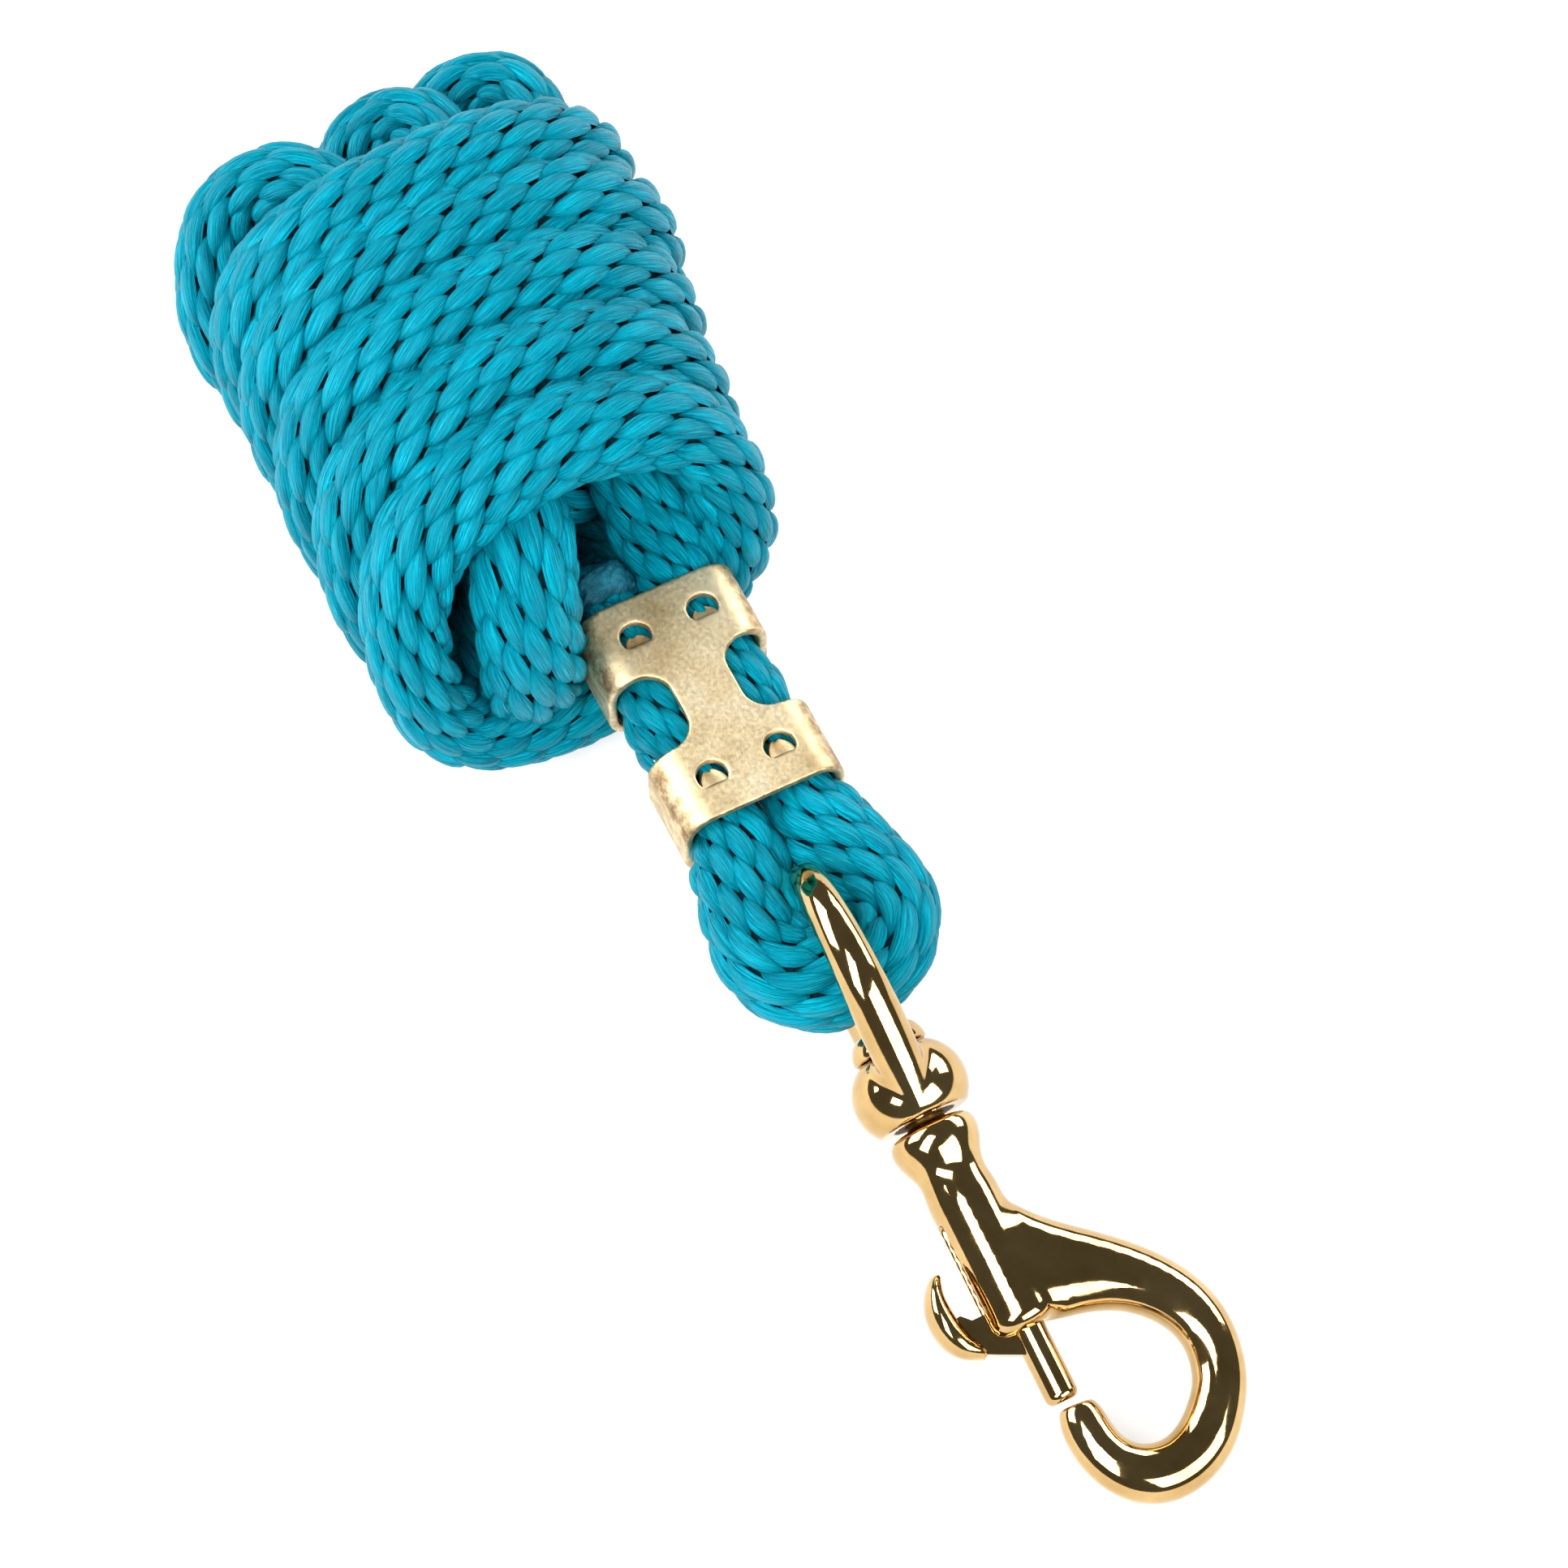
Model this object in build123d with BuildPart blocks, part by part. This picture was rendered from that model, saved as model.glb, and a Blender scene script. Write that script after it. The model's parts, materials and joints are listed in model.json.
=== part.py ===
"""A hanked lead rope: a braided cord clamped in a loop round the eye of a swivel bolt snap.

Millimetres, +Z up, lying on z = 0. +X runs from the hank to the hook, +Y is the side that the hook
bulges to.
The snap's own plane has its x axis along the snap, from the far end of the eye (0) to the end of the hook.
"""

from build123d import *

import os
from math import acos, asin, atan2, cos, degrees, pi, radians, sin, sqrt

os.makedirs("parts", exist_ok=True)

# ---- rope, loop and eye: the loop and the eye are as wide as the rope and the eye's bar need ----
rope_diameter = 16.0
eye_bar_far = 2.9  # radius of the eye's bar at its far end
loop_clearance = 1.9  # between the bar and the rope on each side of it
eye_room = 5.1  # between the rope and the inside of the eye
loop_radius = rope_diameter / 2 + eye_bar_far + loop_clearance  # of the rope's centreline
eye_radius = rope_diameter / 2 + eye_bar_far + eye_room  # of the bar's centreline
eye_slack = 1.7  # how far the eye's centre lies short of the rope's
leg_gap = 3.8  # between the two legs of the loop where they leave the clamp
leg_length = 18.8  # from the clamp to the centre of the loop's round end
loop_x = 29.9  # centre of the loop's round end
lead_y = 9.0  # the line that clamp, loop and snap lie on
lead_z = 24.0  # height of the loop's centreline above the table

# ---- clamp ----
clamp_length = 42.0
clamp_width = 28.5
clamp_height = 17.5
clamp_sheet = 1.5
clamp_bend = 5.5
clamp_band = 14.0
clamp_web = 10.0
clamp_notch_radius = 4.5
clamp_seam = 1.0
clamp_hole = 5.2
clamp_hole_flat = 1.7  # from a hole's centre to its flat side
clamp_hole_spacing = 12.0
clamp_tooth_length = 3.4
clamp_tooth_thickness = 1.0
run_clearance = 0.15  # between the clamp's inside and the two runs of rope in it
run_gap = 0.2  # between the two runs
run_width = (clamp_width - 2 * clamp_sheet - 2 * run_clearance - run_gap) / 2
run_height = clamp_height - 2 * clamp_sheet - 2 * run_clearance
run_corner = clamp_bend
bitter_end_swell = 0.5  # how much thicker the melted end is than the run it ends
bitter_end_length = 11.0

# ---- hank ----
hank_length = 77.0
hank_width = 74.0
hank_height = 62.0
hank_corner = 28.0
hank_y = -1.0
hank_slant = 14.0  # degrees that the wraps lean back
hank_edge = 9.0
bights_width = 60.0
bights_height = 42.0
bights_corner = 18.0
bights_reach = 27.0
bights_z = 33.0
bights_edge = 12.0
front_bight_width = 18.0
front_bight_height = 42.0
front_bight_reach = 9.0
front_bight_lift = 2.0  # its middle above the clamp's
bight_clearance = 0.35  # between the front fold and the clamp
clamp_tuck = 0.2  # how far the clamp reaches into the hank
pocket_depth = 24.0
pocket_corner = 5.0
pocket_clearance = 0.25  # between the pocket and the clamp's near side
pocket_room = 7.25  # beside the clamp for the standing part
pocket_headroom = 6.25  # above and below the clamp

# ---- snap, distances along it from the far end of the eye ----
eye_roll = 8.0  # degrees that the eye leans about the snap's axis
eye_bar_base = 3.8
eye_bar_foot = 3.1
eye_foot_half = 5.2
eye_base_length = 11.3
eye_base_top_radius = 6.2
eye_base_radius = 9.4
eye_base_end_radius = 7.5
stem_radius = 3.2
running_clearance = 0.08
side_clearance = 0.3
head_length = 4.6
head_radius = 6.3
base_gap = 1.2  # of bare stem between the eye's base and the collar
collar_radius = 7.2
neck_radius = 5.5
barrel_radius = 5.8
barrel_length = 35.0
bore_depth = 24.6
slot_length = 20.1
web_thickness = 2.6
plunger_radius = 2.7
plunger_inside = 6.6  # how much of the plunger stays in the barrel
gate_length = 12.4  # from the barrel to the plunger's tip
plunger_tip_fillet = 1.3
pad_gap = 3.3  # between the barrel and the tips of the thumb pad
hook_length = 33.9  # from the barrel's end to the end of the hook
hook_rest = 3.5  # height of the snap's middle plane above the table at the hook's end
spring_wire = 0.6
spring_coils = 7.0

eye_centre = eye_bar_far + side_clearance + eye_radius
eye_seat = eye_centre + eye_radius - 1.1
eye_foot = eye_seat + 9.4
eye_base_end = eye_seat + eye_base_length
head_top = eye_seat - head_length
collar_start = eye_base_end + base_gap
barrel_end = collar_start + barrel_length
bore_start = barrel_end - bore_depth
slot_start = barrel_end - slot_length
plunger_start = barrel_end - plunger_inside
plunger_end = barrel_end + gate_length
slope = asin((lead_z - hook_rest) / (barrel_end + hook_length - eye_centre))


def along(distance, side=0.0, height=0.0):
    """A point of the snap: its distance along it, to the +Y side and above its middle plane."""
    return snap_plane.from_local_coords(Vector(distance, side, height))


snap_direction = Vector(cos(slope), 0, -sin(slope))
snap_normal = Vector(sin(slope), 0, cos(slope))
eye_middle = Vector(loop_x + loop_radius - eye_slack, lead_y, lead_z)
snap_origin = eye_middle - snap_direction * eye_centre
snap_plane = Plane(origin=snap_origin, x_dir=snap_direction, z_dir=snap_normal)

# the eye's own plane: x along the snap, y across the eye, leaning by eye_roll from upright
roll = radians(eye_roll)
eye_across = snap_normal * cos(roll) - Vector(0, 1, 0) * sin(roll)
eye_plane = Plane(origin=snap_origin, x_dir=snap_direction, z_dir=snap_direction.cross(eye_across))

# ---- swivel eye ----
foot_distance = sqrt((eye_foot - eye_centre) ** 2 + eye_foot_half**2)
foot_angle = atan2(eye_foot_half, eye_foot - eye_centre)
tangent_angle = foot_angle + acos(eye_radius / foot_distance)
tangent_degrees = degrees(tangent_angle)
tangent_x = eye_centre + eye_radius * cos(tangent_angle)
tangent_y = eye_radius * sin(tangent_angle)
foot_slope = atan2(tangent_y - eye_foot_half, eye_foot - tangent_x)

with BuildPart() as swivel_eye:
    with BuildLine(eye_plane) as eye_path:
        Line((eye_foot, eye_foot_half), (tangent_x, tangent_y))
        CenterArc((eye_centre, 0), eye_radius, tangent_degrees, 360 - 2 * tangent_degrees)
        Line((tangent_x, -tangent_y), (eye_foot, -eye_foot_half))
    foot_share = (eye_foot - tangent_x) / cos(foot_slope) / eye_path.wire().length
    for share, radius in (
        (0, eye_bar_foot),
        (foot_share, eye_bar_base),
        (0.5, eye_bar_far),
        (1 - foot_share, eye_bar_base),
        (1, eye_bar_foot),
    ):
        with BuildSketch(Plane(origin=eye_path.line @ share, z_dir=eye_path.line % share)):
            Circle(radius)
    sweep(path=eye_path.line, multisection=True)
    with BuildSketch(snap_plane):
        with BuildLine():
            Polyline((eye_base_end, 0), (eye_seat, 0), (eye_seat, eye_base_top_radius))
            ThreePointArc(
                (eye_seat, eye_base_top_radius),
                (eye_seat + 5.4, eye_base_radius),
                (eye_base_end, eye_base_end_radius),
            )
            Line((eye_base_end, eye_base_end_radius), (eye_base_end, 0))
        make_face()
    revolve(axis=Axis(snap_origin, snap_direction))
    with BuildSketch(Plane(origin=along(eye_seat - 6), z_dir=snap_direction)):
        Circle(stem_radius + running_clearance)
    extrude(amount=eye_base_end - eye_seat + 12, mode=Mode.SUBTRACT)
    with BuildSketch(Plane(origin=along(head_top - 1), z_dir=snap_direction)):
        Circle(head_radius + side_clearance)
    extrude(amount=eye_seat - head_top + 1, mode=Mode.SUBTRACT)

# ---- snap body: stem and head, collar, barrel and hook ----
# each hook section: distance past the barrel's end, side, heading in degrees, half width in the hook's plane
# and half thickness
hook_sections = (
    (-11.6, 0.0, 90, 11.2, 4.4),
    (-9.3, 5.2, 84, 9.8, 4.8),
    (-5.7, 10.1, 75, 7.3, 5.0),
    (-2.1, 15.8, 62, 5.8, 4.9),
    (2.4, 20.7, 43, 5.0, 4.7),
    (7.7, 24.0, 21, 4.6, 4.5),
    (14.2, 24.9, -5, 4.3, 4.3),
    (20.4, 23.0, -28, 4.3, 4.3),
    (25.6, 18.6, -52, 4.6, 4.4),
    (28.6, 12.4, -80, 4.7, 4.5),
    (27.4, 5.9, -117, 4.6, 4.5),
    (23.4, 2.4, -150, 4.1, 4.2),
    (19.6, 1.3, -172, 3.9, 3.9),
    (16.0, 1.2, -182, 3.6, 3.6),
    (13.6, 1.3, -184, 2.7, 2.7),
)

with BuildPart() as snap_body:
    with BuildSketch(snap_plane):
        with BuildLine():
            Line((head_top, 0), (barrel_end, 0))
            Line((barrel_end, 0), (barrel_end, plunger_radius + 1.0))
            ThreePointArc(
                (barrel_end, plunger_radius + 1.0),
                (barrel_end - 0.7, barrel_radius - 0.7),
                (barrel_end - 2.6, barrel_radius),
            )
            Line((barrel_end - 2.6, barrel_radius), (collar_start + 13, barrel_radius))
            Spline(
                (collar_start + 13, barrel_radius),
                (collar_start + 8, neck_radius),
                (collar_start + 2.8, collar_radius),
                (collar_start, collar_radius - 2.2),
                tangents=((-1, 0), (0, -1)),
            )
            Polyline(
                (collar_start, collar_radius - 2.2),
                (collar_start, stem_radius),
                (eye_seat - side_clearance, stem_radius),
                (eye_seat - side_clearance, head_radius - 0.5),
            )
            Spline(
                (eye_seat - side_clearance, head_radius - 0.5),
                (eye_seat - 2.2, head_radius - 0.3),
                (head_top, 0),
                tangents=((-0.4, 1), (0, -1)),
            )
        make_face()
    revolve(axis=Axis(snap_origin, snap_direction))
    for distance, side, heading, half_width, half_thickness in hook_sections:
        forward = snap_direction * cos(radians(heading)) + Vector(0, 1, 0) * sin(radians(heading))
        with BuildSketch(Plane(origin=along(barrel_end + distance, side), x_dir=snap_normal, z_dir=forward)):
            Ellipse(half_thickness, half_width)
    loft()
    with BuildSketch(Plane(origin=along(bore_start), z_dir=snap_direction)):
        Circle(plunger_radius + running_clearance)
    extrude(amount=barrel_end - bore_start, mode=Mode.SUBTRACT)
    slot_half = web_thickness / 2 + side_clearance
    with BuildSketch(Plane(origin=along(slot_start), z_dir=snap_direction, x_dir=(0, 1, 0))):
        with Locations((-barrel_radius, 0)):
            Rectangle(2 * barrel_radius, 2 * slot_half)
    extrude(amount=barrel_end - slot_start + 1, mode=Mode.SUBTRACT)

# ---- bolt: plunger, web and thumb pad ----
with BuildPart() as bolt:
    with BuildSketch(Plane(origin=along(plunger_start), z_dir=snap_direction)):
        Circle(plunger_radius)
    extrude(amount=plunger_end - plunger_start)
    fillet(bolt.faces().sort_by(Axis(snap_origin, snap_direction))[-1].edges(), plunger_tip_fillet)
    with BuildSketch(snap_plane):
        with BuildLine():
            Polyline(
                (plunger_start + 1.8, 0),
                (plunger_start + 1.8, -barrel_radius - 1.8),
                (plunger_start + 0.4, -barrel_radius - 3.2),
                (plunger_start + 1.0, -barrel_radius - 6.7),
                (plunger_start + 6.6, -barrel_radius - 3.8),
                (plunger_start + 8.2, -barrel_radius - 0.6),
                (plunger_start + 10.2, -2.2),
                (plunger_start + 10.2, 0),
                (plunger_start + 1.8, 0),
            )
        make_face()
    extrude(amount=web_thickness / 2, both=True)
    # the thumb pad: a bowed leaf, as wide as the thumb's edge, standing outside the slot
    for distance, side, heading, half_depth, half_width in (
        (-6.6, 0.0, -62, 0.5, 1.2),
        (-5.0, -1.4, -45, 1.4, 2.7),
        (-2.4, -2.4, -20, 2.0, 3.7),
        (0.6, -2.6, 0, 2.3, 4.0),
        (3.6, -1.9, 24, 2.2, 3.6),
        (6.0, -0.2, 42, 1.6, 2.6),
        (7.4, 1.3, 50, 0.8, 1.3),
    ):
        forward = snap_direction * cos(radians(heading)) + Vector(0, 1, 0) * sin(radians(heading))
        pad_spot = along(plunger_start + distance, side - barrel_radius - pad_gap)
        with BuildSketch(Plane(origin=pad_spot, x_dir=snap_normal, z_dir=forward)):
            Ellipse(half_width, half_depth)
    loft()

# ---- spring behind the plunger ----
spring_start = bore_start + side_clearance
spring_length = plunger_start - side_clearance - spring_start - spring_wire
spring_radius = plunger_radius - side_clearance - spring_wire / 2
with BuildPart() as bolt_spring:
    with BuildLine() as coil:
        Helix(
            pitch=spring_length / spring_coils,
            height=spring_length,
            radius=spring_radius,
            center=along(spring_start + spring_wire / 2),
            direction=snap_direction,
        )
    with BuildSketch(Plane(origin=coil.line @ 0, z_dir=coil.line % 0)):
        Circle(spring_wire / 2)
    sweep(path=coil.line, is_frenet=True)

# ---- clamp ----
clamp_front = loop_x - leg_length
clamp_back = clamp_front - clamp_length
clamp_x = (clamp_back + clamp_front) / 2
clamp_top = lead_z + clamp_height / 2
band_offset = (clamp_length - clamp_band) / 2
with BuildPart() as rope_clamp:
    with BuildSketch(Plane(origin=(clamp_back, lead_y, lead_z), x_dir=(0, 1, 0), z_dir=(1, 0, 0))):
        RectangleRounded(clamp_width, clamp_height, clamp_bend)
        RectangleRounded(
            clamp_width - 2 * clamp_sheet,
            clamp_height - 2 * clamp_sheet,
            clamp_bend - clamp_sheet,
            mode=Mode.SUBTRACT,
        )
        with Locations((0, -clamp_height / 2)):
            Rectangle(clamp_seam, 3 * clamp_sheet, mode=Mode.SUBTRACT)
    extrude(amount=clamp_length)
    # the two notches between the bands, and the whole underside there
    notch_length = clamp_length - 2 * clamp_band
    with BuildSketch(Plane(origin=(clamp_x, lead_y, clamp_top + 1))):
        with Locations((0, clamp_width / 2 + clamp_web / 2), (0, -clamp_width / 2 - clamp_web / 2)):
            RectangleRounded(notch_length, clamp_width, clamp_notch_radius)
    extrude(amount=-clamp_height - 2, mode=Mode.SUBTRACT)
    with BuildSketch(Plane(origin=(clamp_x, lead_y, lead_z))):
        Rectangle(notch_length, clamp_width + 2)
    extrude(amount=-clamp_height, mode=Mode.SUBTRACT)
    hole_side = clamp_hole_spacing / 2
    hole_spots = [(x, y) for x in (-band_offset, band_offset) for y in (-hole_side, hole_side)]
    flat_offset = clamp_hole / 2 + clamp_hole_flat
    with BuildSketch(Plane(origin=(clamp_x, lead_y, clamp_top + 0.5))):
        with Locations(*hole_spots):
            Circle(clamp_hole / 2)
        with Locations(*[(x + flat_offset, y) for x, y in hole_spots]):
            Rectangle(clamp_hole, clamp_hole, mode=Mode.SUBTRACT)
    extrude(amount=-clamp_sheet - 1, mode=Mode.SUBTRACT)
    # a tooth at one edge of each hole, bent down into the rope
    tooth_z = clamp_top - clamp_sheet / 2
    for spot_x, spot_y in hole_spots:
        tooth_x = clamp_x + spot_x + clamp_hole_flat + clamp_sheet / 4
        with BuildSketch(Plane(origin=(tooth_x, lead_y + spot_y, tooth_z), z_dir=(-1, 0, 0), x_dir=(0, 1, 0))):
            with BuildLine():
                Polyline(
                    (-clamp_hole / 3, 0),
                    (clamp_hole / 3, 0),
                    (0, clamp_sheet / 2 + clamp_tooth_length),
                    (-clamp_hole / 3, 0),
                )
            make_face()
        extrude(amount=clamp_tooth_thickness)

# ---- the rope, as plain stretches ----
leg_side = (rope_diameter + leg_gap) / 2
run_side = (run_width + run_gap) / 2
with BuildPart() as rope_in_clamp:
    with BuildSketch(Plane(origin=(clamp_back, lead_y, lead_z), x_dir=(0, 1, 0), z_dir=(1, 0, 0))):
        with Locations((run_side, 0), (-run_side, 0)):
            RectangleRounded(run_width, run_height, run_corner)
    extrude(amount=clamp_length)

leg_distance = sqrt((loop_x - clamp_front) ** 2 + leg_side**2)
leg_angle = atan2(leg_side, clamp_front - loop_x) - acos(loop_radius / leg_distance)
with BuildPart() as rope_loop:
    with BuildLine(Plane(origin=(loop_x, lead_y, lead_z))) as loop_path:
        Line((clamp_front - loop_x, leg_side), (loop_radius * cos(leg_angle), loop_radius * sin(leg_angle)))
        CenterArc((0, 0), loop_radius, degrees(leg_angle), -2 * degrees(leg_angle))
        Line((loop_radius * cos(leg_angle), -loop_radius * sin(leg_angle)), (clamp_front - loop_x, -leg_side))
    with BuildSketch(Plane(origin=loop_path.line @ 0, z_dir=loop_path.line % 0)):
        Circle(rope_diameter / 2)
    sweep(path=loop_path.line)
    split(bisect_by=Plane(origin=(clamp_front, 0, 0), z_dir=(1, 0, 0)), keep=Keep.TOP)

with BuildPart() as rope_standing:
    with BuildSketch(Plane(origin=(clamp_back, lead_y + leg_side, lead_z), z_dir=(-1, 0, 0))):
        Circle(rope_diameter / 2)
    extrude(amount=pocket_depth)

bitter_end_diameter = run_width + bitter_end_swell
bitter_end_y = lead_y - bitter_end_diameter / 2 - run_gap
with BuildPart() as rope_bitter_end:
    with BuildSketch(Plane(origin=(clamp_back, bitter_end_y, lead_z), z_dir=(-1, 0, 0))):
        Circle(bitter_end_diameter / 2)
    extrude(amount=bitter_end_length)
    fillet(rope_bitter_end.faces().sort_by(Axis.X)[0].edges(), bitter_end_diameter / 4)

hank_front_x = clamp_back + clamp_tuck
hank_back_x = hank_front_x - hank_length
front_bight_y = lead_y - (clamp_width + front_bight_width) / 2 - bight_clearance
pocket_width = clamp_width + pocket_clearance + pocket_room
pocket_height = clamp_height + 2 * pocket_headroom
pocket_y = lead_y + (pocket_room - pocket_clearance) / 2
lean = Vector(cos(radians(hank_slant)), 0, sin(radians(hank_slant)))
facing_front = dict(x_dir=(0, 1, 0), z_dir=(1, 0, 0))
with BuildPart() as rope_hank:
    # the wraps: a rounded bar whose two ends lean back
    with BuildSketch(Plane(origin=(hank_back_x - hank_height, hank_y, hank_height / 2), **facing_front)):
        RectangleRounded(hank_width, hank_height, hank_corner)
    extrude(amount=hank_front_x - hank_back_x + 2 * hank_height)
    split(bisect_by=Plane(origin=(hank_front_x, 0, hank_height / 2), z_dir=lean), keep=Keep.BOTTOM)
    split(bisect_by=Plane(origin=(hank_back_x, 0, hank_height / 2), z_dir=lean), keep=Keep.TOP)
    ends = rope_hank.faces().sort_by(Axis.X)
    fillet(ends[0].edges() + ends[-1].edges(), hank_edge)
    # the folds that stick out at the back
    with BuildSketch(Plane(origin=(hank_back_x - bights_reach, hank_y, bights_z), **facing_front)):
        RectangleRounded(bights_width, bights_height, bights_corner)
    extrude(amount=bights_reach + hank_width / 2)
    fillet(rope_hank.faces().sort_by(Axis.X)[0].edges(), bights_edge)
    # the one fold that shows at the front
    bight_start = (hank_front_x - hank_width / 2, front_bight_y, lead_z + front_bight_lift)
    with BuildSketch(Plane(origin=bight_start, **facing_front)):
        RectangleRounded(front_bight_width, front_bight_height, front_bight_width / 2 - 0.5)
    extrude(amount=front_bight_reach + hank_width / 2)
    fillet(rope_hank.faces().sort_by(Axis.X)[-1].edges(), front_bight_width / 3)
    # the pocket that the standing part comes out of
    with BuildSketch(Plane(origin=(clamp_back - pocket_depth, pocket_y, lead_z), **facing_front)):
        RectangleRounded(pocket_width, pocket_height, pocket_corner)
    extrude(amount=hank_width, mode=Mode.SUBTRACT)

pieces = {
    "rope_hank": rope_hank,
    "rope_standing": rope_standing,
    "rope_in_clamp": rope_in_clamp,
    "rope_loop": rope_loop,
    "rope_bitter_end": rope_bitter_end,
    "rope_clamp": rope_clamp,
    "swivel_eye": swivel_eye,
    "snap_body": snap_body,
    "bolt": bolt,
    "bolt_spring": bolt_spring,
}
for name, piece in pieces.items():
    piece.part.label = name
    export_step(piece.part, f"parts/{name}.step")

loop_section = pi * (rope_diameter / 2) ** 2
loop_length = loop_path.wire().length
print("loop radius", loop_radius, "volume", rope_loop.part.volume)
print("loop section x length", loop_section * loop_length)
whole = Compound([piece.part for piece in pieces.values()]).bounding_box()
print("box", whole.min, whole.max)
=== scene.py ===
import json
import math

import bmesh
import bpy
import numpy as np
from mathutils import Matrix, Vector


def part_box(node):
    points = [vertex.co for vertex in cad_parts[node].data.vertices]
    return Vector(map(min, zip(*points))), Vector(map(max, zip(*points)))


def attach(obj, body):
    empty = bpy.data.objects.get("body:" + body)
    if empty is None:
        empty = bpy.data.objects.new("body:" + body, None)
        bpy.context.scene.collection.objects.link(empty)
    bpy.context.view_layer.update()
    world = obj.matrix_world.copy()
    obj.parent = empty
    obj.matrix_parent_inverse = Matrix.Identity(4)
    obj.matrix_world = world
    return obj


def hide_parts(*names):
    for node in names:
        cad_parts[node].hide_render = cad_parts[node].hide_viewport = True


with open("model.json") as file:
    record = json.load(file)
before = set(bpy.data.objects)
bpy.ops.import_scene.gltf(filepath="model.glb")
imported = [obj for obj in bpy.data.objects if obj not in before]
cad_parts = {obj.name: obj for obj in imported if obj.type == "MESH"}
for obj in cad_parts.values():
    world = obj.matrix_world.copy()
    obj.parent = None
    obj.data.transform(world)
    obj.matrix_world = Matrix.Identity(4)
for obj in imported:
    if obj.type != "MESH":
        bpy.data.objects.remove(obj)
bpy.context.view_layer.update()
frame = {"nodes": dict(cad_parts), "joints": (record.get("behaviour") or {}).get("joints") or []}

MM = 0.001
scene = bpy.context.scene

# ---------------------------------------------------------------- camera
TARGET = Vector((-4.2, 19.9, 0.0)) * MM
AZIMUTH = math.radians(63.44)
ELEVATION = math.radians(63.0)
DISTANCE = 0.741
FIELD_OF_VIEW = math.radians(20.0)
NEAREST_SEEN = 0.02
outward = Vector((
    math.sin(AZIMUTH) * math.cos(ELEVATION),
    -math.cos(AZIMUTH) * math.cos(ELEVATION),
    math.sin(ELEVATION),
))
camera_data = bpy.data.cameras.new("camera")
camera_data.sensor_fit = "HORIZONTAL"
camera_data.angle = FIELD_OF_VIEW
camera_data.clip_start = NEAREST_SEEN
camera = bpy.data.objects.new("camera", camera_data)
camera.location = TARGET + outward * DISTANCE
camera.rotation_euler = (-outward).to_track_quat("-Z", "Y").to_euler()
scene.collection.objects.link(camera)
scene.camera = camera

# ---------------------------------------------------------------- the rope's route
# the box of the rope's two runs inside the clamp
clamp_low, clamp_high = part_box("rope_in_clamp")
LEAD_Y = (clamp_low.y + clamp_high.y) / 2 / MM
LEAD_Z = (clamp_low.z + clamp_high.z) / 2 / MM
# millimetres: bitter end, one side of the clamp, round the eye, the other side and up into the hank
HEAD = [(-33, 2.6, 24.3), (-20, 2.65, 24), (0, 2.65, 24), (10, 2.4, 24), (15, 2.3, 24), (22, 0.3, 24),
        (34.2, -2.4, 24), (41.2, 3.8, 24), (41.2, 14.2, 24), (34.2, 20.4, 24), (22, 17.7, 24),
        (15, 15.7, 24), (10, 15.6, 24), (0, 15.35, 24), (-20, 15.35, 24), (-33, 15.6, 24.5), (-43, 16, 27),
        (-53, 16, 34), (-66, 14, 39)]
# the folded core: out to the back lobe, the middle lobe, the front fold that shows, and the left lobe
CORE = [(-90, 14, 39), (-102, 19, 39), (-114, 28, 38), (-126, 29, 37), (-131, 21, 35), (-126, 13, 32),
        (-110, 11, 27), (-90, 13, 24), (-66, 13.5, 24), (-59, 9, 24), (-59, 2, 34), (-68, -1, 39),
        (-90, 0, 39), (-104, 5, 41), (-114, 12, 42), (-126, 11, 40), (-128, 2, 37), (-120, -4, 33),
        (-106, -4, 27), (-90, -2, 24), (-64, -2, 24), (-52, -9, 20), (-42, -12.9, 18), (-29, -12.9, 18.5),
        (-29, -12.9, 32), (-36.5, -10.5, 45), (-50, -5, 44), (-66, -11, 39), (-86, -13, 39),
        (-98, -10, 43), (-107, -8, 46), (-119, -11, 45), (-125, -21, 41), (-118, -31, 34), (-108, -33, 24),
        (-104, -25, 12), (-108, -10, 8.2), (-109, 8, 8.2), (-108, 21, 12)]
# where each wrap stands on the left and the right side, and how far out it lies there
LEFT = [-98, -86, -70, -53, -35]
RIGHT = [-106, -91, -75, -58, -40.5, -37]
LEFT_HALF = [31, 31, 31.5, 31.5, 31]
RIGHT_HALF = [37.5, 38.5, 35, 32.5, 30.5, 26]
# the middle of the wraps, half their height, and how far they lean back for each millimetre of height
WRAP_Y, WRAP_Z, WRAP_RISE, WRAP_LEAN = -1.0, 31.0, 23.0, 0.25
# 1 would make each wrap an ellipse, and less makes it squarer
WRAP_SQUARE = 0.77
# how far the top of each wrap bows back
BOW = [-2, 0, 2, 4.5, 8]
# the rope's free end, tucked into the hank low down
TAIL = [(-36, 19, 11), (-48, 19, 14), (-62, 11, 17)]


def wraps(per_turn=12):
    """Points in millimetres on the turns round the core, from the rearmost turn to the foremost."""
    points = []
    for turn in range(len(LEFT)):
        for step in range(per_turn):
            share = step / per_turn
            c, s = math.cos(2 * math.pi * share), math.sin(2 * math.pi * share)
            half = LEFT_HALF[turn] if c < 0 else RIGHT_HALF[turn + (share > 0.5)]
            y = WRAP_Y + half * math.copysign(abs(c) ** WRAP_SQUARE, c)
            z = WRAP_Z + WRAP_RISE * math.copysign(abs(s) ** WRAP_SQUARE, s)
            if share <= 0.5:
                x = RIGHT[turn] + (LEFT[turn] - RIGHT[turn]) * 2 * share
            else:
                x = LEFT[turn] + (RIGHT[turn + 1] - LEFT[turn]) * (2 * share - 1)
            x -= BOW[turn] * max(s, 0)
            points.append((x - WRAP_LEAN * (z - WRAP_Z), y, z))
    return points


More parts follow.
